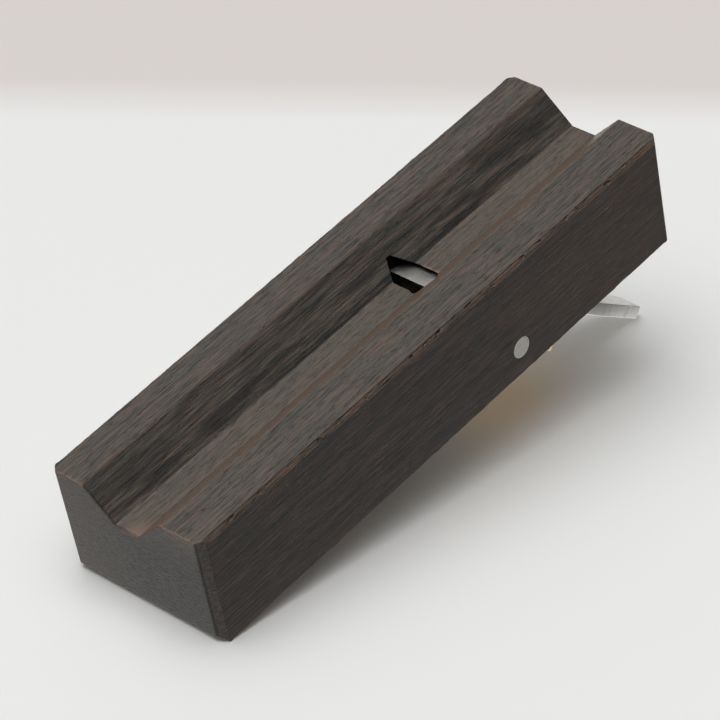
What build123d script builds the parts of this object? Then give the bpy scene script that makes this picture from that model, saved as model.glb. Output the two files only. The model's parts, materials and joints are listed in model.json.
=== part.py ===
from build123d import *
from math import cos, radians, sin, tan
import os

os.makedirs("parts", exist_ok=True)

# A small wooden chamfer plane, in millimetres, standing on its sole.
# +X points to the toe (the front), +Y to the plane's left side and +Z up.
# The origin is on the sole, at half the length, on the centreline of the groove,
# which the mouth, the iron and the wedge are all centred on.

# ---- driving dimensions: the block ----
body_length = 139.0
body_height = 27.0
left_land = 9.0             # flat of the sole beside the groove, left side
right_land = 10.6           # the same, right side: the groove is a little off centre
corner_chamfer = 1.75       # on the four upright corners
end_chamfer = 2.0           # on the top edge of the toe and of the heel
long_chamfer = 0.6          # on the long edges of the sole and of the top

# ---- driving dimensions: the groove that rides on the work's corner ----
groove_flat = 6.0
groove_depth = 7.2
groove_wall_angle = 45.0

# ---- driving dimensions: the throat, which is cut from two sloping planes ----
toe_to_mouth = 81.5         # toe to the mouth's front edge, along the groove's flat
mouth_gap = 2.4             # free slot in front of the iron, along the groove's flat
bed_angle = 42.5            # the plane that the iron lies on
throat_front_angle = 55.0   # the plane in front, which leans to the toe
iron_side_clearance = 0.2
wedge_side_clearance = 0.3

# ---- driving dimensions: the iron, its bevel side down ----
iron_thickness = 2.9
iron_width = 12.0
iron_length = 81.2
iron_blade_length = 61.5    # full width, before it tapers to the tail
iron_tail_width = 6.2
bevel_angle = 27.0
iron_projection = 0.3       # how far the edge stands out of the groove's flat
bed_clearance = 0.05        # sliding fit of the iron on its bed

# ---- driving dimensions: the wedge, between the iron and the pin ----
wedge_angle = 10.5
wedge_length = 43.0
wedge_tip_thickness = 1.4
wedge_tip_height = 3.7      # the tip's distance from the mouth, along the bed
wedge_head_radius = 2.5
wedge_clearance = 0.05      # sliding fit on the iron and under the pin

# ---- driving dimensions: the cross pin ----
pin_diameter = 4.8
pin_interference = 0.02     # drive fit, on the diameter
pin_below_top = 6.5         # the top of the block to the pin's centre

# ---- the block's section, from the groove outwards ----
groove_run = groove_depth / tan(radians(groove_wall_angle))
left_side = groove_flat / 2 + groove_run + left_land
right_side = -(groove_flat / 2 + groove_run + right_land)
body_width = left_side - right_side
body_middle = (left_side + right_side) / 2
toe = body_length / 2

# ---- the bed: u runs up along it towards the heel, n stands off it ----
bed_sin, bed_cos = sin(radians(bed_angle)), cos(radians(bed_angle))
wedge_slope = tan(radians(wedge_angle))
mouth_width = iron_width + 2 * iron_side_clearance
mouth_opening = (iron_thickness + bed_clearance) / bed_sin + mouth_gap
mouth_front = toe - toe_to_mouth
mouth_back = mouth_front - mouth_opening
bed_side = Plane(
    origin=(mouth_back, 0, groove_depth), x_dir=(-bed_cos, 0, bed_sin), z_dir=(0, 1, 0)
)
bed_plan = Plane(
    origin=(mouth_back, 0, groove_depth), x_dir=(-bed_cos, 0, bed_sin), z_dir=(bed_sin, 0, bed_cos)
)

# ---- stations along the bed, and heights above it ----
iron_face = bed_clearance + iron_thickness
edge_u = (-iron_projection - iron_face * bed_cos) / bed_sin
wedge_sole = iron_face + wedge_clearance
# The wedge's top is tangent to the pin, less the clearance, and the pin's height is known,
# which together fix the pin's place along the bed.
pin_height = body_height - pin_below_top
pin_reach = (pin_diameter / 2 + wedge_clearance) / cos(radians(wedge_angle))
pin_base = wedge_sole + wedge_tip_thickness - wedge_tip_height * wedge_slope + pin_reach
pin_u = (pin_height - groove_depth - bed_cos * pin_base) / (bed_sin + bed_cos * wedge_slope)
pin_n = pin_base + pin_u * wedge_slope
pin_x = mouth_back - pin_u * bed_cos + pin_n * bed_sin


def make_block():
    """The solid block with its corners and end edges chamfered."""
    block = Pos(0, body_middle, body_height / 2) * Box(body_length, body_width, body_height)
    block = chamfer(block.edges().filter_by(Axis.Z), corner_chamfer)
    top = block.faces().sort_by(Axis.Z)[-1]
    end_edges = top.edges().filter_by(Axis.Y)
    block = chamfer(end_edges, end_chamfer)
    long_edges = block.edges().filter_by(Axis.X)
    block = chamfer(long_edges, long_chamfer)
    return block


def groove_cutter():
    """The flat-bottomed V, run past both ends and below the sole."""
    below = 5.0
    half_flat = groove_flat / 2
    spread = half_flat + groove_run + below / tan(radians(groove_wall_angle))
    section = Plane.YZ * Polygon(
        (-half_flat, groove_depth), (half_flat, groove_depth), (spread, -below), (-spread, -below),
        align=None,
    )
    return extrude(section, body_length, both=True)


def throat_cutter():
    """The bed plane and the front plane, which meet in a line below the groove's flat."""
    above = body_height + 5.0
    lean_back = 1 / tan(radians(bed_angle))
    lean_forward = 1 / tan(radians(throat_front_angle))
    foot_z = groove_depth - mouth_opening / (lean_back + lean_forward)
    foot_x = mouth_front - (groove_depth - foot_z) * lean_forward
    section = Plane.XZ * Polygon(
        (foot_x, foot_z),
        (foot_x + (above - foot_z) * lean_forward, above),
        (foot_x - (above - foot_z) * lean_back, above),
        align=None,
    )
    return extrude(section, mouth_width / 2, both=True)


def pin_along_y(diameter, length):
    """A round bar across the block, centred on its width."""
    bar = Rot(90, 0, 0) * Cylinder(diameter / 2, length)
    return Pos(pin_x, body_middle, pin_height) * bar


def make_plane_body():
    hole = pin_along_y(pin_diameter - pin_interference, 2 * body_width)
    return make_block() - groove_cutter() - throat_cutter() - hole


def make_cross_pin():
    """Driven through and filed flush with both sides."""
    return pin_along_y(pin_diameter, body_width)


def make_cutting_iron():
    """A flat bar with a ground bevel, full width for most of its length and then tapered to the tail."""
    bevel_run = iron_thickness / tan(radians(bevel_angle))
    end_u = edge_u + iron_length
    side = bed_side * Polygon(
        (edge_u, iron_face), (edge_u + bevel_run, bed_clearance), (end_u, bed_clearance),
        (end_u, iron_face), align=None,
    )
    bar = extrude(side, iron_width / 2, both=True)
    blade_u = edge_u + iron_blade_length
    half, half_tail = iron_width / 2, iron_tail_width / 2
    outline = bed_plan * Polygon(
        (edge_u, half), (blade_u, half), (end_u, half_tail),
        (end_u, -half_tail), (blade_u, -half), (edge_u, -half), align=None,
    )
    return bar & extrude(outline, 2 * iron_thickness, both=True)


def make_brass_wedge():
    """Flat underneath, sloping on top, with the corners of its head rounded over."""
    tip_u, head_u = wedge_tip_height, wedge_tip_height + wedge_length
    head_thickness = wedge_tip_thickness + wedge_length * wedge_slope
    side = bed_side * Polygon(
        (tip_u, wedge_sole), (tip_u, wedge_sole + wedge_tip_thickness),
        (head_u, wedge_sole + head_thickness), (head_u, wedge_sole), align=None,
    )
    wedge = extrude(side, mouth_width / 2 - wedge_side_clearance, both=True)
    head_face = wedge.faces().sort_by(Axis(bed_side.origin, bed_side.x_dir))[-1]
    return fillet(head_face.edges(), wedge_head_radius)


pieces = {
    "plane_body": make_plane_body(),
    "cross_pin": make_cross_pin(),
    "cutting_iron": make_cutting_iron(),
    "brass_wedge": make_brass_wedge(),
}
for name, shape in pieces.items():
    export_step(shape, f"parts/{name}.step")

print(f"block {body_length:.1f} x {body_width:.1f} x {body_height:.1f}, right side at y {right_side:.2f}")
print(f"mouth {mouth_opening:.2f} long from x {mouth_front:.2f}, pin at x {pin_x:.2f} z {pin_height:.2f}")
print(f"edge at u {edge_u:.2f}, pin at u {pin_u:.2f} n {pin_n:.2f}, wedge at pin "
      f"{wedge_tip_thickness + (pin_u - wedge_tip_height) * wedge_slope:.2f}")
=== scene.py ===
# %% [markdown]
# # A small ebony chamfer plane
# This plane has four pieces: a block of nearly black hardwood, a steel pin driven across it, a steel iron
# and a brass wedge. A flat-bottomed V runs along the sole. Its two walls ride on the corner of a board,
# and the iron's edge at the bottom of the V takes the corner off.
# The frame is loaded first. It holds the exact CAD pieces, in metres, with the toe at +X and the sole at z = 0,
# and everything that follows takes its place and size from it.

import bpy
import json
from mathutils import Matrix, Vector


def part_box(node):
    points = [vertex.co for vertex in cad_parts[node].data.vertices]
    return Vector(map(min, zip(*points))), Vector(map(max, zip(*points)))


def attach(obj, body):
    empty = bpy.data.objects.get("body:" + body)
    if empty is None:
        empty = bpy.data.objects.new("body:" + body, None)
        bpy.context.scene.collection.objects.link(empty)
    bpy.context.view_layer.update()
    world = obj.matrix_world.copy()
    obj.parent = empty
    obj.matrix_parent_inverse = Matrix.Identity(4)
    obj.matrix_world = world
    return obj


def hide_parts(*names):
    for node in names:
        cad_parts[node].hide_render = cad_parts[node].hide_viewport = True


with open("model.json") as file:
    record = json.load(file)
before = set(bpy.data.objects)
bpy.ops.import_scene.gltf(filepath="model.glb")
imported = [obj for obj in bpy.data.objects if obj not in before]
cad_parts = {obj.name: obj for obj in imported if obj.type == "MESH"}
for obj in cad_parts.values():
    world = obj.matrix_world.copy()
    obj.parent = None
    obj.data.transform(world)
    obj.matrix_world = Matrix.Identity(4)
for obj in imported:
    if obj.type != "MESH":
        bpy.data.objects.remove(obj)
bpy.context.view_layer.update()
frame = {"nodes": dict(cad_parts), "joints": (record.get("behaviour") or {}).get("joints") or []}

# %% [markdown]
# A maker thinks in millimetres and Blender in metres, so one constant turns one into the other.
# The joint that slides the iron gives the direction of the bed, and with it a second direction that stands
# square off the bed. The iron and the wedge are simple shapes when they are seen from those two directions.

# %% Units and directions
import json
from math import cos, radians, sin
from random import Random

import bpy
from mathutils import Matrix, Vector

MM = 0.001
along_bed = Vector(frame["joints"][0]["axis"]).normalized()
off_bed = Vector((along_bed.z, 0, -along_bed.x))
print("along the bed", [round(v, 4) for v in along_bed], "off the bed", [round(v, 4) for v in off_bed])


def span(node, direction):
    """Lowest and highest station of a CAD node along a direction."""
    stations = [vertex.co.dot(direction) for vertex in frame["nodes"][node].data.vertices]
    return min(stations), max(stations)


# %% [markdown]
# Modelling by hand is mostly choosing what to act on. These helpers do that in code: they clear the selection,
# then select faces, edges or corners by where they are, so that the next operator acts on those alone.

# %% Choosing what to act on
def only(piece):
    """Leaves one object selected and active, in object mode."""
    if bpy.context.object and bpy.context.object.mode != "OBJECT":
        bpy.ops.object.mode_set(mode="OBJECT")
    bpy.ops.object.select_all(action="DESELECT")
    piece.select_set(True)
    bpy.context.view_layer.objects.active = piece


def pick(piece, kind, test):
    """Opens the piece in edit mode with the VERT, EDGE or FACE items selected that pass the test."""
    only(piece)
    bpy.ops.object.mode_set(mode="EDIT")
    bpy.ops.mesh.select_mode(type=kind)
    bpy.ops.mesh.select_all(action="DESELECT")
    bpy.ops.object.mode_set(mode="OBJECT")
    mesh = piece.data
    place = [vertex.co for vertex in mesh.vertices]
    chosen = 0
    if kind == "VERT":
        for vertex in mesh.vertices:
            vertex.select = bool(test(vertex.co))
            chosen += vertex.select
    elif kind == "EDGE":
        for edge in mesh.edges:
            edge.select = bool(test(*[place[i] for i in edge.vertices]))
            chosen += edge.select
    else:
        for face in mesh.polygons:
            face.select = bool(test(face.center, face.normal))
            chosen += face.select
    bpy.ops.object.mode_set(mode="EDIT")
    return chosen


def done():
    """Back to object mode."""
    bpy.ops.object.mode_set(mode="OBJECT")


def box_piece(name, low, high):
    """A cuboid between two corners, with its place in its mesh: the start of a piece."""
    if bpy.context.object and bpy.context.object.mode != "OBJECT":
        done()
    bpy.ops.object.select_all(action="DESELECT")
    low, high = Vector(low), Vector(high)
    bpy.ops.mesh.primitive_cube_add(size=1, location=(low + high) / 2, scale=high - low)
    piece = bpy.context.object
    piece.name = piece.data.name = name
    bpy.ops.object.transform_apply(location=True, rotation=True, scale=True)
    return piece


def apply_modifier(piece, kind, **settings):
    """Adds one modifier and applies it."""
    only(piece)
    modifier = piece.modifiers.new(kind.title(), kind)
    for key, value in settings.items():
        setattr(modifier, key, value)
    bpy.ops.object.modifier_apply(modifier=modifier.name)


def carve(piece, cutter):
    """Cuts one closed shape out of another and throws the cutter away."""
    apply_modifier(piece, "BOOLEAN", object=cutter, operation="DIFFERENCE", solver="EXACT")
    bpy.data.objects.remove(cutter)


def count(piece):
    """One line on how heavy a mesh is, and whether it is closed."""
    faces_on = {}
    for face in piece.data.polygons:
        for key in face.edge_keys:
            faces_on[key] = faces_on.get(key, 0) + 1
    unclosed = sum(number != 2 for number in faces_on.values())
    piece.data.calc_loop_triangles()
    print(f"{piece.name}: {len(piece.data.vertices)} vertices, {len(piece.data.loop_triangles)} triangles, "
          f"{unclosed} edges not between two faces")


# %% [markdown]
# ## The block
# The real block is planed square, its upright corners are chamfered, and the top edge of toe and heel is
# chamfered as well. It could be drawn as a section and pulled long, but the chamfers at the ends are easier
# from a plain cuboid whose edges are bevelled one family at a time, just as a maker takes them down.

# %% The block's sizes
body_low, body_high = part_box("plane_body")
groove_half_flat, groove_depth, groove_half_width = 3.0 * MM, 7.2 * MM, 10.2 * MM
corner_chamfer, end_chamfer, long_chamfer = 1.75 * MM, 2.0 * MM, 0.6 * MM
toe, heel = body_high.x, body_low.x
right_side, left_side = body_low.y, body_high.y
top = body_high.z
near = 0.02 * MM


def same(a, b):
    """True where two measures agree to a hair."""
    return abs(a - b) < near


# %% Squaring the block and taking its corners down
body = box_piece("ebony_block", body_low, body_high)
upright = pick(body, "EDGE", lambda a, b: same(a.x, b.x) and same(a.y, b.y))
bpy.ops.mesh.bevel(offset=corner_chamfer, segments=1, affect="EDGES")
across = pick(body, "EDGE", lambda a, b: same(a.x, b.x) and same(a.z, top) and same(b.z, top)
              and same(abs(a.x), toe))
bpy.ops.mesh.bevel(offset=end_chamfer, segments=1, affect="EDGES")
lengthwise = pick(body, "EDGE", lambda a, b: same(a.y, b.y) and same(a.z, b.z) and abs(a.x - b.x) > toe)
bpy.ops.mesh.bevel(offset=long_chamfer, segments=1, affect="EDGES")
done()
print("edges taken down:", upright, across, lengthwise)

# %% [markdown]
# The groove is a trapezoid run along the whole sole. A box that is longer than the block has its lower face
# widened, which makes the 45 degree walls, and it is carved out of the block in one go.

# %% The groove
groove = box_piece("groove_cutter", (heel * 1.2, -groove_half_flat, -groove_depth),
                   (toe * 1.2, groove_half_flat, groove_depth))
pick(groove, "FACE", lambda centre, normal: normal.z < -0.9)
bottom_half_width = groove_half_width + groove_depth
bpy.ops.transform.resize(value=(1, bottom_half_width / groove_half_flat, 1),
                         center_override=(0, 0, -groove_depth))
done()
carve(body, groove)
count(body)

# %% [markdown]
# No worn edge is a knife edge, so every edge of the block is rounded by a fifth of a millimetre. The rounding is
# done now, while the edges are long and clean, because a bevel needs room and the throat will leave short ones.

# %% Easing the edges
ease = 0.22 * MM
sharp = pick(body, "EDGE", lambda a, b: True)
bpy.ops.mesh.select_all(action="DESELECT")
bpy.ops.mesh.edges_select_sharp(sharpness=radians(20))
bpy.ops.mesh.bevel(offset=ease, segments=3, affect="EDGES", clamp_overlap=True)
done()
count(body)

# %% [markdown]
# Wear is uneven, so the long faces need points along their length before anything can move. The bisect
# operator cuts the block into slices, closer together than the wear that it has to carry.

# %% Slicing the block along its length
slice_pitch = 1.1 * MM
slices = int((toe - heel - 6 * MM) / slice_pitch)
only(body)
bpy.ops.object.mode_set(mode="EDIT")
for number in range(slices + 1):
    station = heel + 3 * MM + number * (toe - heel - 6 * MM) / slices
    bpy.ops.mesh.select_all(action="SELECT")
    bpy.ops.mesh.bisect(plane_co=(station, 0, 0), plane_no=(1, 0, 0))
done()
count(body)

# %% [markdown]
# ## Chips and wear
# Ebony is brittle and its edges chip. Each chip is a small lump, squashed along the grain. A row of lumps that
# don't touch is carved away together, and a fixed seed puts them in the same places every time. The outer
# right edge of the sole takes the knocks and gets the most.

# %% Chips on the long edges
dice = Random(7)


def lump(place, size):
    """One uneven lump of the given size in each direction."""
    bpy.ops.object.select_all(action="DESELECT")
    turn = (dice.uniform(-0.3, 0.3), dice.uniform(-0.3, 0.3), dice.uniform(-0.3, 0.3))
    bpy.ops.mesh.primitive_ico_sphere_add(subdivisions=2, radius=1, location=place, rotation=turn, scale=size)
    piece = bpy.context.object
    bpy.ops.object.transform_apply(location=True, rotation=True, scale=True)
    pick(piece, "VERT", lambda p: True)
    bpy.ops.transform.vertex_random(offset=0.15 * min(size), seed=dice.randint(1, 999))
    done()
    return piece


def chip_away(name, lumps):
    """Joins a row of lumps that don't touch and carves them all out of the block at once."""
    bpy.ops.object.select_all(action="DESELECT")
    for piece in lumps:
        piece.select_set(True)
    bpy.context.view_layer.objects.active = lumps[0]
    bpy.ops.object.join()
    carve(body, lumps[0])
    print("chips", name, len(lumps))


right_chips, station = [], heel + 6 * MM
while station < toe - 6 * MM:
    long = dice.uniform(0.4, 1.6) * MM
    deep = dice.uniform(0.25, 0.45) * MM
    station += long
    place = (station, right_side + dice.uniform(0.1, 0.4) * MM, dice.uniform(0.0, 0.4) * MM)
    right_chips.append(lump(place, (long, deep, deep)))
    station += long + dice.uniform(0.8, 7.0) * MM
chip_away("on the right edge", right_chips)
for name, y in (("left", left_side), ("left groove", groove_half_width), ("right groove", -groove_half_width)):
    row, station = [], heel + 10 * MM
    while station < toe - 10 * MM:
        row.append(lump((station, y, 0.0), (dice.uniform(0.4, 0.9) * MM, 0.22 * MM, 0.22 * MM)))
        station += dice.uniform(8.0, 40.0) * MM
    chip_away(f"on the {name} edge", row)
count(body)

# %% [markdown]
# ## The throat
# The throat is the hole that the iron and wedge sit in and the shavings leave by. Two sloping planes make it:
# the bed behind and a front that leans forward. They meet a little below the bottom of the groove. The cutter
# starts as a box, its lower face is drawn together to the line where the planes meet, and its walls
# get the small waves that a chisel leaves.

# %% The throat cutter
def clouds(name, grain):
    """A soft procedural texture with grains of the given size."""
    made = bpy.data.textures.new(name, "CLOUDS")
    made.noise_scale, made.noise_depth = grain, 2
    return made


bed_angle, front_angle = radians(42.5), radians(55.0)
throat_half_width = 6.2 * MM
mouth_front, mouth_back = -12.0, -18.77     # in millimetres, like the chips at the mouth
above = top + 5 * MM
lean_back, lean_front = 1 / (sin(bed_angle) / cos(bed_angle)), 1 / (sin(front_angle) / cos(front_angle))
foot_z = groove_depth - (mouth_front - mouth_back) * MM / (lean_back + lean_front)
foot_x = mouth_front * MM - (groove_depth - foot_z) * lean_front
rise = above - foot_z
throat = box_piece("throat_cutter", (foot_x - rise * lean_back, -throat_half_width, foot_z),
                   (foot_x + rise * lean_front, throat_half_width, above))
pick(throat, "FACE", lambda centre, normal: normal.z < -0.9)
foot_centre = foot_x + rise * (lean_front - lean_back) / 2
bpy.ops.transform.translate(value=(foot_x - foot_centre, 0, 0))
bpy.ops.transform.resize(value=(0, 1, 1), center_override=(foot_x, 0, foot_z))
bpy.ops.mesh.remove_doubles(threshold=near)
pick(throat, "EDGE", lambda a, b: True)
bpy.ops.mesh.subdivide(number_cuts=26)
done()
group = throat.vertex_groups.new(name="walls")
group.add([vertex.index for vertex in throat.data.vertices if foot_z + 1.2 * MM < vertex.co.z < top], 1.0, "REPLACE")
apply_modifier(throat, "DISPLACE", texture=clouds("chisel_waves", 1.3 * MM), texture_coords="LOCAL",
               strength=0.14 * MM, mid_level=0.5, vertex_group="walls")
count(throat)
carve(body, throat)
count(body)

# %% [markdown]
# The mouth is the most delicate place. The grain breaks out in front of the iron and at the corners of the bed.

# %% Chips at the mouth
mouth_chips = [
    ((mouth_front + 0.1, -2.2, groove_depth / MM), (0.45, 0.8, 0.3)),
    ((mouth_front + 0.1, -4.3, groove_depth / MM - 1.3), (0.4, 0.5, 0.3)),
    ((mouth_front + 0.0, 1.2, groove_depth / MM), (0.25, 0.5, 0.25)),
    ((mouth_back - 0.1, 2.2, groove_depth / MM), (0.35, 0.5, 0.25)),
    ((mouth_back - 0.1, -1.6, groove_depth / MM), (0.4, 0.4, 0.25)),
]
chip_away("at the mouth", [lump(Vector(place) * MM, Vector(size) * MM) for place, size in mouth_chips])
count(body)

# %% [markdown]
# ## The hole for the pin
# A round cutter goes right across the block. The rim of the hole is a little worn, so a wider, very shallow
# ring is cut at each side.

# %% The hole
pin_low, pin_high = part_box("cross_pin")
pin_centre = (pin_low + pin_high) / 2
pin_radius = (pin_high.x - pin_low.x) / 2


def round_bar(name, radius, low_y, high_y, sides):
    """A round bar across the block."""
    bpy.ops.object.select_all(action="DESELECT")
    bpy.ops.mesh.primitive_cylinder_add(
        vertices=sides, radius=radius, depth=high_y - low_y,
        location=(pin_centre.x, (low_y + high_y) / 2, pin_centre.z), rotation=(radians(90), 0, 0))
    piece = bpy.context.object
    piece.name = piece.data.name = name
    bpy.ops.object.transform_apply(location=True, rotation=True, scale=True)
    return piece


beyond, rim_depth, rim_width = 2 * MM, 0.25 * MM, 0.1 * MM
carve(body, round_bar("hole", pin_radius + 0.01 * MM, right_side - beyond, left_side + beyond, 64))
carve(body, round_bar("right_rim", pin_radius + rim_width, right_side - beyond, right_side + rim_depth, 64))
carve(body, round_bar("left_rim", pin_radius + rim_width, left_side - rim_depth, left_side + beyond, 64))
count(body)

# %% [markdown]
# Between the chips the edges are rubbed down unevenly. A soft cloud texture pushes the points of each rounding
# into the wood, along the line that halves the corner, so the rounding keeps its shape and never folds over.

# %% Rubbing the long edges down
def rub_down(name, edge, inward, grain, depth, reach):
    """Pushes the points beside one long edge inward, by up to the given depth."""
    y, z = edge
    group = body.vertex_groups.new(name=name)
    chosen = [vertex.index for vertex in body.data.vertices
              if abs(vertex.co.y - y) < reach and abs(vertex.co.z - z) < reach and abs(vertex.co.x) < toe - 2.5 * MM]
    group.add(chosen, 1.0, "REPLACE")
    cloud = clouds(name, grain)
    for axis, part in zip("YZ", inward):
        apply_modifier(body, "DISPLACE", texture=cloud, texture_coords="LOCAL", direction=axis,
                       strength=-part * depth, mid_level=1.0, vertex_group=name)
    body.vertex_groups.clear()
    print(name, len(chosen), "points, up to", round(depth / MM, 2), "mm")


outer_reach, groove_reach = 0.78 * MM, 0.2 * MM
rub_down("right sole edge", (right_side, 0.0), (0.7, 0.7), 1.2 * MM, 0.55 * MM, outer_reach)
rub_down("left sole edge", (left_side, 0.0), (-0.7, 0.7), 1.8 * MM, 0.25 * MM, outer_reach)
rub_down("right top edge", (right_side, top), (0.7, -0.7), 1.8 * MM, 0.25 * MM, outer_reach)
rub_down("left top edge", (left_side, top), (-0.7, -0.7), 1.8 * MM, 0.25 * MM, outer_reach)
rub_down("left groove edge", (groove_half_width, 0.0), (0.4, 0.9), 1.5 * MM, 0.16 * MM, groove_reach)
rub_down("right groove edge", (-groove_half_width, 0.0), (-0.4, 0.9), 1.5 * MM, 0.16 * MM, groove_reach)

# %% [markdown]
# Last, the faces are shaded. Faces that meet at a small angle are shaded as one, and a Weighted Normal modifier
# lets the large flat faces rule, so that the narrow roundings don't bend the light on them.

# %% Shading the block
only(body)
bpy.ops.object.shade_smooth_by_angle(angle=radians(32))
apply_modifier(body, "WEIGHTED_NORMAL", mode="FACE_AREA", weight=50, keep_sharp=True)
count(body)
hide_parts("plane_body")
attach(body, "block")

# %% [markdown]
# ## The pin
# The pin is a bar of steel, driven through and filed flush with both sides. Filing leaves a thin eased rim and
# a face that is not quite flat: the ends are inset, and the middle of each is let down by a hair.

# %% The pin
pin = round_bar("steel_pin", pin_radius, pin_low.y, pin_high.y, 64)
pick(pin, "EDGE", lambda a, b: same(a.y, b.y))
bpy.ops.mesh.bevel(offset=0.14 * MM, segments=2, affect="EDGES")
pick(pin, "FACE", lambda centre, normal: abs(normal.y) > 0.99)
bpy.ops.mesh.inset(thickness=0.5 * MM)
bpy.ops.mesh.inset(thickness=0.8 * MM)
bpy.ops.transform.resize(value=(1, 0.999, 1), center_override=pin_centre)
done()
only(pin)
bpy.ops.object.shade_smooth_by_angle(angle=radians(40))
count(pin)
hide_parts("cross_pin")
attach(pin, "block")

# %% [markdown]
# ## The iron
# The iron is a flat bar with a bevel ground on its lower face. It keeps its full width for three quarters of its
# length and then tapers to a tail, which sticks out at the back to take the hammer. It is modelled lying flat,
# with X up along the bed, and then turned onto the bed in one move, because square cuts are easier than sloping
# ones.

# %% Laying the bed's directions out flat
def onto_bed(piece):
    """Turns a piece that was modelled flat onto the bed, then clears the object's own turn."""
    only(piece)
    piece.matrix_world = Matrix((along_bed, (0, -1, 0), off_bed)).transposed().to_4x4()
    bpy.ops.object.transform_apply(location=True, rotation=True, scale=True)


iron_start, iron_end = span("cutting_iron", along_bed)
iron_back, iron_face = span("cutting_iron", off_bed)
iron_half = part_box("cutting_iron")[1].y
tail_half, blade_length = 3.1 * MM, 61.5 * MM
bevel_angle = radians(27)
bevel_run = (iron_face - iron_back) / (sin(bevel_angle) / cos(bevel_angle))
print("iron", [round((b - a) / MM, 2) for a, b in ((iron_start, iron_end), (iron_back, iron_face))], "mm")

# %% Forging the iron
iron = box_piece("steel_iron", (iron_start, -iron_half, iron_back), (iron_end, iron_half, iron_face))
pick(iron, "FACE", lambda centre, normal: True)
bpy.ops.mesh.bisect(plane_co=(iron_start + blade_length, 0, 0), plane_no=(1, 0, 0))
pick(iron, "VERT", lambda p: same(p.x, iron_end))
bpy.ops.transform.resize(value=(1, tail_half / iron_half, 1), center_override=(0, 0, 0))
pick(iron, "VERT", lambda p: same(p.x, iron_start) and same(p.z, iron_back))
bpy.ops.transform.translate(value=(bevel_run, 0, 0))
pick(iron, "EDGE", lambda a, b: same(a.z, b.z) and abs(a.x - b.x) > 10 * MM)
bpy.ops.mesh.bevel(offset=0.18 * MM, segments=3, affect="EDGES")
pick(iron, "EDGE", lambda a, b: a.x > iron_end - near and b.x > iron_end - near)
bpy.ops.mesh.bevel(offset=0.15 * MM, segments=2, affect="EDGES")
done()
onto_bed(iron)
only(iron)
bpy.ops.object.shade_smooth_by_angle(angle=radians(30))
count(iron)
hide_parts("cutting_iron")
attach(iron, "iron")

# %% [markdown]
# ## The wedge
# The wedge is flat where it bears on the iron and slopes where it bears on the pin. Its head is rounded over so
# that a mallet doesn't split it. A cuboid is tapered by lowering its top edge at the tip, and then
# the head gets its wide rounding and every other edge a small one.

# %% The wedge
wedge_start, wedge_end = span("brass_wedge", along_bed)
wedge_sole, wedge_top = span("brass_wedge", off_bed)
wedge_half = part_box("brass_wedge")[1].y
tip_thickness, head_radius = 1.4 * MM, 2.5 * MM
wedge_slope = sin(radians(10.5)) / cos(radians(10.5))
head_thickness = tip_thickness + (wedge_end - wedge_start) * wedge_slope
wedge = box_piece("brass_wedge_detailed", (wedge_start, -wedge_half, wedge_sole),
                  (wedge_end, wedge_half, wedge_sole + head_thickness))
pick(wedge, "VERT", lambda p: same(p.x, wedge_start) and p.z > wedge_sole + near)
bpy.ops.transform.translate(value=(0, 0, tip_thickness - head_thickness))
pick(wedge, "EDGE", lambda a, b: same(a.x, wedge_end) and same(b.x, wedge_end))
bpy.ops.mesh.bevel(offset=head_radius, segments=8, affect="EDGES")
pick(wedge, "EDGE", lambda a, b: same(a.y, b.y) and abs(a.x - b.x) > 10 * MM)
bpy.ops.mesh.bevel(offset=0.3 * MM, segments=3, affect="EDGES")
done()
onto_bed(wedge)
only(wedge)
bpy.ops.object.shade_smooth_by_angle(angle=radians(35))
count(wedge)
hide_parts("brass_wedge")
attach(wedge, "wedge")


# %% [markdown]
# ## Materials
# Every finish here is made of the same few effects, so each effect is a node group that is built once. The
# first is noise drawn out in one direction, which makes wood grain, the lines of a grinding wheel and scratches.

# %% Small helpers for nodes
class Wires:
    """Adds nodes to one tree and joins them up."""

    def __init__(self, tree):
        self.tree = tree

    def node(self, kind, inputs=None, **settings):
        """Adds one node, with its settings and what goes into its sockets."""
        made = self.tree.nodes.new(kind)
        for key, value in settings.items():
            setattr(made, key, value)
        for key, value in (inputs or {}).items():
            self.feed(value, made.inputs[key])
        return made

    def feed(self, value, socket):
        """A socket is joined, anything else is set as the input's own value."""
        if isinstance(value, bpy.types.NodeSocket):
            self.tree.links.new(value, socket)
        elif hasattr(value, "outputs"):
            self.tree.links.new(value.outputs[0], socket)
        else:
            socket.default_value = value

    def maths(self, operation, a, b=0.0, c=0.0, clamp=False):
        """One sum on up to three values."""
        return self.node("ShaderNodeMath", {0: a, 1: b, 2: c}, operation=operation, use_clamp=clamp).outputs[0]

    def times(self, a, b):
        """A product, which is also where two masks overlap."""
        return self.maths("MULTIPLY", a, b)

    def blend(self, factor, a, b):
        """From colour a at 0 to colour b at 1."""
        made = self.node("ShaderNodeMix", data_type="RGBA", blend_type="MIX", clamp_result=True)
        self.feed(factor, made.inputs[0])
        self.feed(a, made.inputs[6])
        self.feed(b, made.inputs[7])
        return made.outputs[2]

    def remap(self, value, low, high, out_low=0.0, out_high=1.0):
        """Stretches the range low to high over another, and holds it at both ends."""
        return self.node("ShaderNodeMapRange", {"Value": value, "From Min": low, "From Max": high,
                                                "To Min": out_low, "To Max": out_high}).outputs[0]


def group(name, inputs, outputs):
    """An empty node group with named sockets."""
    tree = bpy.data.node_groups.new(name, "ShaderNodeTree")
    for label, kind, value in inputs:
        socket = tree.interface.new_socket(name=label, in_out="INPUT", socket_type="NodeSocket" + kind)
        if value is not None:
            socket.default_value = value
    for label, kind in outputs:
        tree.interface.new_socket(name=label, in_out="OUTPUT", socket_type="NodeSocket" + kind)
    wires = Wires(tree)
    return tree, wires, wires.node("NodeGroupInput"), wires.node("NodeGroupOutput")


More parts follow.
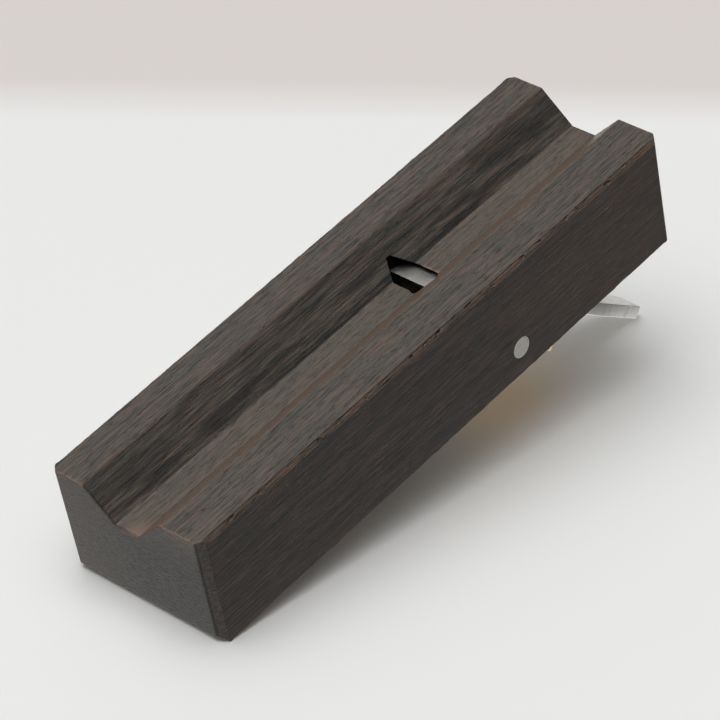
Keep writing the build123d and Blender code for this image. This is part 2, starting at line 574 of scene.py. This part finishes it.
# %% Drawn-out noise
streaks, w, enter, leave = group(
    "streaks",
    [("Vector", "Vector", None), ("Along", "Float", 40.0), ("Across", "Float", 900.0), ("Layers", "Float", 900.0),
     ("Detail", "Float", 4.0), ("Low", "Float", 0.4), ("High", "Float", 0.6)],
    [("Value", "Float"), ("Mask", "Float")])
stretch = w.node("ShaderNodeCombineXYZ", {0: enter.outputs["Along"], 1: enter.outputs["Across"],
                                          2: enter.outputs["Layers"]})
drawn = w.node("ShaderNodeVectorMath", {0: enter.outputs["Vector"], 1: stretch.outputs[0]}, operation="MULTIPLY")
noise = w.node("ShaderNodeTexNoise", {"Vector": drawn.outputs[0], "Scale": 1.0, "Detail": enter.outputs["Detail"],
                                      "Roughness": 0.6})
w.feed(noise.outputs[0], leave.inputs["Value"])
w.feed(w.remap(noise.outputs[0], enter.outputs["Low"], enter.outputs["High"]), leave.inputs["Mask"])

# %% [markdown]
# The second is wear along an edge. An edge of this object is a straight line, so how far a point is from it
# is plain arithmetic on two coordinates. Noise breaks the band up, so that it is wide here and gone there.

# %% Wear along a straight edge
edge_band, w, enter, leave = group(
    "edge_band",
    [("First", "Float", 0.0), ("Second", "Float", 0.0), ("First Line", "Float", 0.0),
     ("Second Line", "Float", 0.0), ("Reach", "Float", 0.001), ("Breaks", "Float", 0.5)],
    [("Mask", "Float")])
first = w.maths("SUBTRACT", enter.outputs["First"], enter.outputs["First Line"])
second = w.maths("SUBTRACT", enter.outputs["Second"], enter.outputs["Second Line"])
distance = w.maths("SQRT", w.maths("ADD", w.times(first, first), w.times(second, second)))
reached = w.times(enter.outputs["Reach"], w.times(enter.outputs["Breaks"], 2.0))
w.feed(w.maths("SUBTRACT", 1.0, w.maths("DIVIDE", distance, w.maths("ADD", reached, 0.00001)), clamp=True),
       leave.inputs["Mask"])

# %% [markdown]
# The third is a field of small spots, for the pits and stains of old metal and the pores of wood.

# %% Spots
spots, w, enter, leave = group(
    "spots", [("Vector", "Vector", None), ("Scale", "Float", 900.0), ("Low", "Float", 0.55), ("High", "Float", 0.7)],
    [("Mask", "Float")])
noise = w.node("ShaderNodeTexNoise", {"Vector": enter.outputs["Vector"], "Scale": enter.outputs["Scale"],
                                      "Detail": 3.0, "Roughness": 0.65})
w.feed(w.remap(noise.outputs[0], enter.outputs["Low"], enter.outputs["High"]), leave.inputs["Mask"])


def material(name):
    """An empty material with its Principled shader and its object coordinates."""
    made = bpy.data.materials.new(name)
    made.use_nodes = True
    made.node_tree.nodes.clear()
    wires = Wires(made.node_tree)
    shader = wires.node("ShaderNodeBsdfPrincipled")
    output = wires.node("ShaderNodeOutputMaterial")
    wires.feed(shader.outputs[0], output.inputs["Surface"])
    coordinates = wires.node("ShaderNodeTexCoord").outputs["Object"]
    return made, wires, shader, coordinates


def use(wires, tree, **inputs):
    """Places a node group with its own values."""
    made = wires.node("ShaderNodeGroup", node_tree=tree)
    for key, value in inputs.items():
        wires.feed(value, made.inputs[key.replace("_", " ")])
    return made


def between(wires, value, low, high, soft):
    """1 where a coordinate is between two stations, 0 outside, with soft ends."""
    return wires.times(wires.remap(value, low - soft, low + soft),
                       wires.remap(value, high - soft, high + soft, 1, 0))


def tint(wires, under, mask, strength, colour):
    """Lays a colour over another where a mask allows it."""
    return wires.blend(wires.times(mask, strength), under, (*colour, 1))


def raise_by(wires, shader, height, distance, strength):
    """Gives a surface relief."""
    bump = wires.node("ShaderNodeBump", {"Height": height, "Distance": distance, "Strength": strength})
    wires.feed(bump.outputs[0], shader.inputs["Normal"])


def dress(piece, finish):
    """Gives a piece its one material."""
    piece.data.materials.clear()
    piece.data.materials.append(finish)


# %% [markdown]
# ### Ebony
# The wood is almost black, with fine red-brown lines along the grain. It lies in thin level layers, so the same
# pattern gives straight lines on the sides and short crosswise marks on the ends. A little wax and dust in the
# fibres turns the faces grey, and this grey is also a painted sheen. The worn edges show bare orange-brown wood.

# %% Ebony
def grain(along, across, layers, detail, low, high):
    """The wood's noise, drawn out by its own amount in each direction."""
    return use(w, streaks, Vector=place, Along=along, Across=across, Layers=layers, Detail=detail, Low=low, High=high)


ebony, w, shader, place = material("waxed_ebony")
fine = grain(150.0, 2600.0, 2400.0, 4.0, 0.34, 0.66)
lines = grain(70.0, 1500.0, 2300.0, 4.0, 0.48, 0.66)
tone = grain(16.0, 260.0, 620.0, 4.0, 0.36, 0.64)
pores = grain(380.0, 3600.0, 4200.0, 2.0, 0.58, 0.70)
end_grain = grain(300.0, 620.0, 2600.0, 4.0, 0.36, 0.64)
wood = w.blend(tone.outputs["Mask"], (0.009, 0.009, 0.0075, 1), (0.036, 0.030, 0.023, 1))
wood = tint(w, wood, lines.outputs["Mask"], 0.85, (0.100, 0.058, 0.040))
# The grey in the fibres is partly real wax and dust and partly painted sheen that lifts the faces.
wood = tint(w, wood, fine.outputs["Mask"], 0.66, (0.106, 0.098, 0.083))
wood = tint(w, wood, pores.outputs["Mask"], 0.5, (0.006, 0.005, 0.005))
wood = tint(w, wood, lines.outputs["Mask"], 0.30, (0.140, 0.076, 0.055))

# %% [markdown]
# Some marks are easy to place by their coordinates. The ends show end grain, and a brown smear lies low on the toe
# near the right corner. The ends are paler on the left and towards the sole and darker on the right: painted light
# and shade.
# The right side is darker towards the toe and paler and browner towards the heel: painted shade and painted light.

# %% The ends and the right side, with painted light and shade
axes = w.node("ShaderNodeSeparateXYZ", {0: place})
x, y, z = axes.outputs
end_zone = w.remap(w.maths("ABSOLUTE", x), toe - 0.4 * MM, toe - 0.1 * MM)
wood = tint(w, wood, end_zone, 0.60, (0.012, 0.012, 0.010))
wood = tint(w, wood, w.times(end_zone, end_grain.outputs["Mask"]), 0.85, (0.104, 0.096, 0.078))
# Painted shade: the right half of each end is darkened.
wood = tint(w, wood, w.times(end_zone, w.remap(y, 2 * MM, right_side)), 0.50, (0.022, 0.022, 0.019))
# Painted light: the ends are paler on the left and towards the sole.
toe_painted_light = w.maths("MAXIMUM", w.remap(y, -2 * MM, left_side), w.remap(z, 10 * MM, 0.0, 0.0, 0.6))
wood = tint(w, wood, w.times(end_zone, toe_painted_light), 0.70, (0.150, 0.125, 0.100))
smear = w.times(between(w, y, -19 * MM, -13 * MM, 2 * MM), w.remap(z, 4.5 * MM, 0.5 * MM))
smear = w.times(w.times(smear, end_zone), end_grain.outputs["Mask"])
wood = tint(w, wood, smear, 0.8, (0.200, 0.140, 0.080))
side_zone = w.remap(y, right_side + 0.5 * MM, right_side + 1.2 * MM, 1.0, 0.0)
# Painted shade: the right side darkens towards the toe.
wood = tint(w, wood, w.times(side_zone, w.remap(x, heel, toe, 0.0, 0.35)), 1.0, (0.006, 0.007, 0.006))
# Painted light: the right side turns paler and browner towards the heel.
wood = tint(w, wood, w.times(side_zone, w.remap(x, heel, 0.0, 1.0, 0.0)), 0.30, (0.120, 0.080, 0.056))
wood = tint(w, wood, w.times(side_zone, lines.outputs["Mask"]), 0.42, (0.200, 0.098, 0.062))
print("the ends are at", round(heel / MM, 1), "and", round(toe / MM, 1), "mm")

# %% [markdown]
# The groove's walls stand at 45 degrees, so a point is on one when its height and its distance from the centreline
# add up to the groove's half width. The right wall and the flat are browned by the boards they have run on, and the
# flat is rubbed to bare wood at the toe. The left wall gets dark patches, darkest deep in the groove: painted shade.

# %% Where the groove has run, and painted shade on its left wall
off_wall = w.maths("SUBTRACT", w.maths("ADD", w.maths("ABSOLUTE", y), z), groove_half_width)
on_wall = between(w, off_wall, -0.3 * MM, 0.3 * MM, 0.1 * MM)
right_wall = w.times(on_wall, w.remap(y, -groove_half_flat, -groove_half_flat - 0.5 * MM))
left_wall = w.times(on_wall, w.remap(y, groove_half_flat, groove_half_flat + 0.3 * MM))
on_flat = between(w, z, groove_depth - 0.3 * MM, groove_depth + 0.3 * MM, 0.05 * MM)
on_flat = w.times(on_flat, between(w, y, -groove_half_flat, groove_half_flat, 0.2 * MM))
wood = tint(w, wood, right_wall, 0.7, (0.136, 0.086, 0.060))
wood = tint(w, wood, on_flat, 0.40, (0.092, 0.074, 0.056))
at_toe = w.times(w.remap(x, toe - 5 * MM, toe), w.remap(y, 2 * MM, -2 * MM))
wood = tint(w, wood, w.times(on_flat, at_toe), 0.7, (0.230, 0.130, 0.090))
patches = grain(60.0, 500.0, 700.0, 5.0, 0.42, 0.58)
# Painted shade: dark patches on the left wall, deepest towards the groove's bottom.
left_wall_painted_shade = w.times(w.times(left_wall, patches.outputs["Mask"]), w.remap(z, 0.0, groove_depth, 0.35, 1.0))
wood = tint(w, wood, left_wall_painted_shade, 1.0, (0.006, 0.006, 0.005))
print("the groove is", round(2 * groove_half_width / MM, 1), "mm wide at the sole")

# %% [markdown]
# The worn edges come over everything else, because rubbing takes the dark surface off: a brown band along the
# outer right edge of the sole, thin lines elsewhere, and pale bare wood on the arrises of the toe and the heel.

# %% Where the ebony is worn
def wear(across_edge, line, height, reach, breaks):
    """A broken band along the straight edge where one coordinate and z have the given values."""
    band = use(w, edge_band, First=across_edge, Second=z, First_Line=line, Second_Line=height, Reach=reach * MM,
               Breaks=breaks.outputs["Mask"])
    return band.outputs["Mask"]


breaks = grain(300.0, 1100.0, 1100.0, 4.0, 0.34, 0.66)
crumbs = use(w, spots, Vector=place, Scale=1500.0, Low=0.34, High=0.62)
worn = 0.0
for line, height, reach in [(right_side, 0.0, 1.5), (left_side, 0.0, 0.5), (groove_half_width, 0.0, 0.35),
                            (-groove_half_width, 0.0, 0.7), (right_side, top, 0.6), (left_side, top, 0.6)]:
    worn = w.maths("MAXIMUM", worn, wear(y, line, height, reach, breaks))
wood = tint(w, wood, w.remap(worn, 0.10, 0.60), 0.55, (0.110, 0.070, 0.046))
ends = w.maths("MAXIMUM", wear(x, toe, 0.0, 0.42, crumbs), wear(x, heel, 0.0, 0.42, crumbs))
wood = tint(w, wood, w.remap(ends, 0.1, 0.5), 0.75, (0.230, 0.150, 0.112))
lip = wear(x, mouth_back * MM, groove_depth, 0.7, crumbs)
torn = w.times(w.remap(lip, 0.1, 0.4), between(w, y, -6.5 * MM, 1.0 * MM, 0.5 * MM))
wood = tint(w, wood, torn, 0.8, (0.200, 0.125, 0.090))
print("the bed's worn lip is at x", mouth_back, "mm")

# %% [markdown]
# The throat's walls near the mouth are made almost black. This isn't a finish of the wood: it stands in for the
# deep shadow of a narrow hole, which the pale surroundings would fill with light. The same two sloping planes that
# cut the throat tell which points are on its walls. Metallic takes away the sheen that would lift the black.

# %% The shade in the throat
shade_fades = (12 * MM, 17 * MM)
risen = w.maths("SUBTRACT", z, foot_z)
past_front = w.maths("SUBTRACT", w.maths("SUBTRACT", x, foot_x), w.times(risen, lean_front))
past_bed = w.maths("SUBTRACT", w.maths("SUBTRACT", foot_x, x), w.times(risen, lean_back))
outside = w.maths("MAXIMUM", w.maths("MAXIMUM", past_front, past_bed),
                  w.maths("SUBTRACT", w.maths("ABSOLUTE", y), throat_half_width))
throat_zone = w.times(w.remap(outside, 0.12 * MM, 0.20 * MM, 1.0, 0.0),
                      w.remap(z, *shade_fades, 1.0, 0.0))
w.feed(tint(w, wood, throat_zone, 1.0, (0.004, 0.003, 0.003)), shader.inputs["Base Color"])
w.feed(w.times(throat_zone, 0.9), shader.inputs["Metallic"])
print("the throat's shade fades from z", [round(height / MM, 1) for height in shade_fades], "mm")

# %% [markdown]
# The surface has the same pattern in its sheen and its relief as in its colour. The worn edges are rough, and the
# fibres stand up more on the ends.

# %% The ebony's surface
sheen = w.remap(fine.outputs["Value"], 0.3, 0.7, 0.40, 0.58)
dull = w.maths("MAXIMUM", w.times(throat_zone, 0.9), w.remap(worn, 0.10, 0.60, 0.0, 0.85))
w.feed(w.maths("MAXIMUM", sheen, dull), shader.inputs["Roughness"])
relief = w.maths("ADD", w.times(fine.outputs["Value"], 0.6),
                 w.times(w.times(end_grain.outputs["Value"], end_zone), 3.0))
relief = w.maths("SUBTRACT", relief, w.times(pores.outputs["Mask"], 0.6))
raise_by(w, shader, relief, 0.16 * MM, 1.0)
dress(body, ebony)
print("ebony has", len(ebony.node_tree.nodes), "nodes")

# %% [markdown]
# ### Steel
# The iron is ground steel with some stains and pits. A Mapping node turns the pattern so that its fine lines run
# along the iron. The left part of the bevel and of the edge is darkened by its place, which stands in for the
# throat's deep shadow falling across it.

# %% Steel for the iron
iron_steel, w, shader, place = material("ground_steel")
flat = w.node("ShaderNodeMapping", {"Vector": place, "Rotation": (0, bed_angle, 0)}).outputs[0]
marks = use(w, streaks, Vector=flat, Along=60.0, Across=6000.0, Layers=6000.0, Detail=3.0, Low=0.35, High=0.65)
stains = use(w, spots, Vector=place, Scale=420.0, Low=0.52, High=0.72)
pits = use(w, spots, Vector=place, Scale=2600.0, Low=0.62, High=0.74)
bright = w.blend(marks.outputs["Mask"], (0.66, 0.645, 0.61, 1), (0.82, 0.80, 0.77, 1))
stained = tint(w, bright, stains.outputs["Mask"], 0.30, (0.42, 0.38, 0.33))
pitted = tint(w, stained, pits.outputs["Mask"], 0.6, (0.16, 0.13, 0.11))
axes = w.node("ShaderNodeSeparateXYZ", {0: place}).outputs
shaded = w.times(w.remap(axes[1], 1.0 * MM, 6.0 * MM), w.remap(axes[2], 12 * MM, 10 * MM))
w.feed(tint(w, pitted, shaded, 0.75, (0.12, 0.11, 0.10)), shader.inputs["Base Color"])
shader.inputs["Metallic"].default_value = 1.0
w.feed(w.remap(stains.outputs["Mask"], 0.0, 1.0, 0.46, 0.60), shader.inputs["Roughness"])
raise_by(w, shader, marks.outputs["Value"], 0.02 * MM, 0.6)
dress(iron, iron_steel)
print("the iron is", iron_steel.name)

# %% [markdown]
# The pin's filed ends are paler and duller than the iron, and the file's marks run level across them. They show
# the sky's colour more than a mirror would, so the pin is only partly metallic.

# %% Steel for the pin
pin_steel, w, shader, place = material("filed_steel")
marks = use(w, streaks, Vector=place, Along=500.0, Across=500.0, Layers=7000.0, Detail=3.0, Low=0.35, High=0.65)
pits = use(w, spots, Vector=place, Scale=1500.0, Low=0.55, High=0.72)
bright = w.blend(marks.outputs["Mask"], (0.86, 0.83, 0.76, 1), (0.97, 0.95, 0.88, 1))
w.feed(tint(w, bright, pits.outputs["Mask"], 0.5, (0.42, 0.38, 0.32)), shader.inputs["Base Color"])
shader.inputs["Metallic"].default_value = 0.25
w.feed(w.remap(pits.outputs["Mask"], 0.0, 1.0, 0.62, 0.78), shader.inputs["Roughness"])
raise_by(w, shader, marks.outputs["Value"], 0.02 * MM, 0.7)
dress(pin, pin_steel)
print("the pin is", pin_steel.name)

# %% [markdown]
# ### Brass
# The wedge is brass that has been handled and struck: warm and fairly bright, browner in patches,
# with the light scratches of years of tapping. Its tip, low in the throat, is darkened to stand in for shadow.

# %% Brass
brass, w, shader, place = material("handled_brass")
flat = w.node("ShaderNodeMapping", {"Vector": place, "Rotation": (0, bed_angle, 0)}).outputs[0]
marks = use(w, streaks, Vector=flat, Along=120.0, Across=5000.0, Layers=5000.0, Detail=3.0, Low=0.35, High=0.65)
patina = use(w, spots, Vector=place, Scale=260.0, Low=0.42, High=0.68)
bright = w.blend(marks.outputs["Mask"], (0.66, 0.45, 0.18, 1), (0.80, 0.58, 0.27, 1))
browned = tint(w, bright, patina.outputs["Mask"], 0.5, (0.36, 0.22, 0.09))
height = w.node("ShaderNodeSeparateXYZ", {0: place}).outputs[2]
w.feed(tint(w, browned, w.remap(height, 18 * MM, 13 * MM), 0.95, (0.012, 0.010, 0.007)), shader.inputs["Base Color"])
shader.inputs["Metallic"].default_value = 1.0
w.feed(w.remap(patina.outputs["Mask"], 0.0, 1.0, 0.34, 0.52), shader.inputs["Roughness"])
raise_by(w, shader, marks.outputs["Value"], 0.02 * MM, 0.6)
dress(wedge, brass)
print("the wedge is", brass.name)

# %% [markdown]
# ## The stage
# The plane is shown lying on its back, on the top edge of its toe and on the tail of its iron, the way it is put
# down to look at the sole. That floor is a sloping plane in the part's own frame. A second floor, at z = 0, serves
# the views from above. Each is seen from its front only, by the camera only, so neither hides or
# shades anything for the other, and the pale surroundings stand in for the light that a floor would throw back.

# %% Where the floor lies
toe_rest = Vector((toe - end_chamfer, 0, top))
tail = max((vertex.co for vertex in frame["nodes"]["cutting_iron"].data.vertices), key=lambda p: p.z)
slope = Vector((tail.x - toe_rest.x, 0, tail.z - toe_rest.z)).normalized()
floor_up = Vector((-slope.z, 0, slope.x))
azimuth, elevation = radians(41.17), radians(-41.35)
away = Vector((sin(azimuth) * cos(elevation), -cos(azimuth) * cos(elevation), sin(elevation)))
toward_camera = (away - floor_up * away.dot(floor_up)).normalized()
print("floor normal", [round(v, 4) for v in floor_up], "tail", [round(v / MM, 2) for v in tail])


def floor(name, centre, normal, size, colour, far_colour, far_from, far_to):
    """A plane that shows from the side its normal points to and lets everything through from the other."""
    bpy.ops.object.select_all(action="DESELECT")
    bpy.ops.mesh.primitive_plane_add(size=size, location=centre,
                                     rotation=normal.to_track_quat("Z", "Y").to_euler())
    plane = bpy.context.object
    plane.name = plane.data.name = name
    finish = bpy.data.materials.new(name)
    finish.use_nodes = True
    finish.node_tree.nodes.clear()
    wires = Wires(finish.node_tree)
    position = wires.node("ShaderNodeNewGeometry").outputs["Position"]
    far = wires.node("ShaderNodeVectorMath", {0: position, 1: -toward_camera}, operation="DOT_PRODUCT")
    shade = wires.blend(wires.remap(far.outputs["Value"], far_from, far_to), colour, far_colour)
    card = wires.node("ShaderNodeBsdfPrincipled", {"Base Color": shade, "Roughness": 0.42,
                                                   "Specular IOR Level": 0.3})
    clear = wires.node("ShaderNodeBsdfTransparent")
    facing = wires.node("ShaderNodeNewGeometry").outputs["Backfacing"]
    mixed = wires.node("ShaderNodeMixShader", {0: facing, 1: card.outputs[0], 2: clear.outputs[0]})
    output = wires.node("ShaderNodeOutputMaterial")
    wires.feed(mixed.outputs[0], output.inputs["Surface"])
    plane.data.materials.append(finish)
    plane.visible_diffuse = plane.visible_glossy = plane.visible_shadow = False


# The far end of the floor under the back fades to a pinkish grey: painted shade for light falling off beyond the
# plane.
white, far_floor_painted_shade = (0.80, 0.80, 0.79, 1), (0.674, 0.629, 0.616, 1)
floor("floor_under_the_back", toe_rest.lerp(tail, 0.5) + floor_up * -0.02 * MM, floor_up, 0.6,
      white, far_floor_painted_shade, 152 * MM, 172 * MM)
floor("floor_under_the_sole", (0, 0, -0.1 * MM), Vector((0, 0, 1)), 4.0, white, white, 0.0, 1.0)

# %% [markdown]
# ## Camera
# A long lens from below the sole, which is above the plane as it lies on its back. Its upright is the floor's
# own normal, with a slight roll, so the picture stands the way the object does.

# %% Camera
roll = radians(0.66)
aim, distance = Vector((9.07, -6.4, 7.2)) * MM, 753.9 * MM
across = floor_up.cross(away).normalized()
upward = away.cross(across)
across, upward = across * cos(roll) + upward * sin(roll), upward * cos(roll) - across * sin(roll)
bpy.ops.object.camera_add(location=aim + away * distance,
                          rotation=Matrix((across, upward, away)).transposed().to_euler())
camera = bpy.context.object
camera.data.lens, camera.data.sensor_width = 192.4, 36
bpy.context.scene.camera = camera
print("camera", [round(v / MM, 1) for v in camera.location], "right", [round(v, 4) for v in across])

# %% [markdown]
# ## Light
# The light is a room's: a wide pool of light overhead as the plane lies on its back, leaning a little to the left
# and to the viewer, which makes the soft shadow, a pale wall beyond the plane, and what the floor throws back from
# below. Another pool and a wide lamp light the views from above the top. A tiny warm lamp beside the wedge helps
# the golden light that the brass throws on the floor.

# %% Lamps and world
def lamp(name, direction, away_by, size, power, colour=(1, 1, 1)):
    """A square soft lamp that looks at the object from the given direction."""
    light = bpy.data.lights.new(name, "AREA")
    light.size, light.energy, light.color = size, power, colour
    holder = bpy.data.objects.new(name, light)
    bpy.context.scene.collection.objects.link(holder)
    direction = Vector(direction).normalized()
    holder.location = direction * away_by
    holder.rotation_euler = direction.to_track_quat("Z", "Y").to_euler()
    return holder


left = -across
skylight = (floor_up + left * 0.20 + toward_camera * 0.22).normalized()
back_wall = (floor_up * 0.62 + left * 0.20 - toward_camera * 0.75).normalized()
lamp("bench_lamp", (-0.45, 0.5, 0.85), 1.1, 1.6, 8.0)
brass_glow = lamp("brass_glow", floor_up, 0.0, 0.02, 0.00018, (1.0, 0.50, 0.12))
beside_wedge = Vector((-32.0, -2.0, 40.0)) * MM
brass_glow.location = beside_wedge
brass_glow.visible_camera = brass_glow.visible_glossy = False

world = bpy.data.worlds.new("pale_room")
bpy.context.scene.world = world
world.use_nodes = True
world.node_tree.nodes.clear()
w = Wires(world.node_tree)
direction = w.node("ShaderNodeTexCoord").outputs["Generated"]


def toward(way):
    """How far a direction of the room points a given way, from -1 to 1."""
    return w.node("ShaderNodeVectorMath", {0: direction, 1: way}, operation="DOT_PRODUCT").outputs["Value"]


def pool(way, narrowness):
    """A soft round pool of light in the given direction."""
    return w.maths("POWER", w.maths("MAXIMUM", toward(way), 0.0), narrowness)


thrown_back = w.times(w.remap(toward(floor_up), 0.05, -0.35),
                      w.maths("MULTIPLY_ADD", toward(left), 0.14, 0.30))
level = w.maths("ADD", thrown_back, 0.02)
for way, narrowness, strength in [(skylight, 8.5, 5.35), (back_wall, 4.0, 0.36), (-floor_up, 7.0, 1.2)]:
    level = w.maths("MULTIPLY_ADD", pool(way, narrowness), strength, level)
background = w.node("ShaderNodeBackground", {"Color": (0.985, 0.985, 0.98, 1), "Strength": level})
output = w.node("ShaderNodeOutputWorld")
w.feed(background.outputs[0], output.inputs["Surface"])
bpy.context.scene.view_settings.view_transform = "Standard"
print("light comes from", [round(v, 2) for v in skylight], "and beyond", [round(v, 2) for v in back_wall])
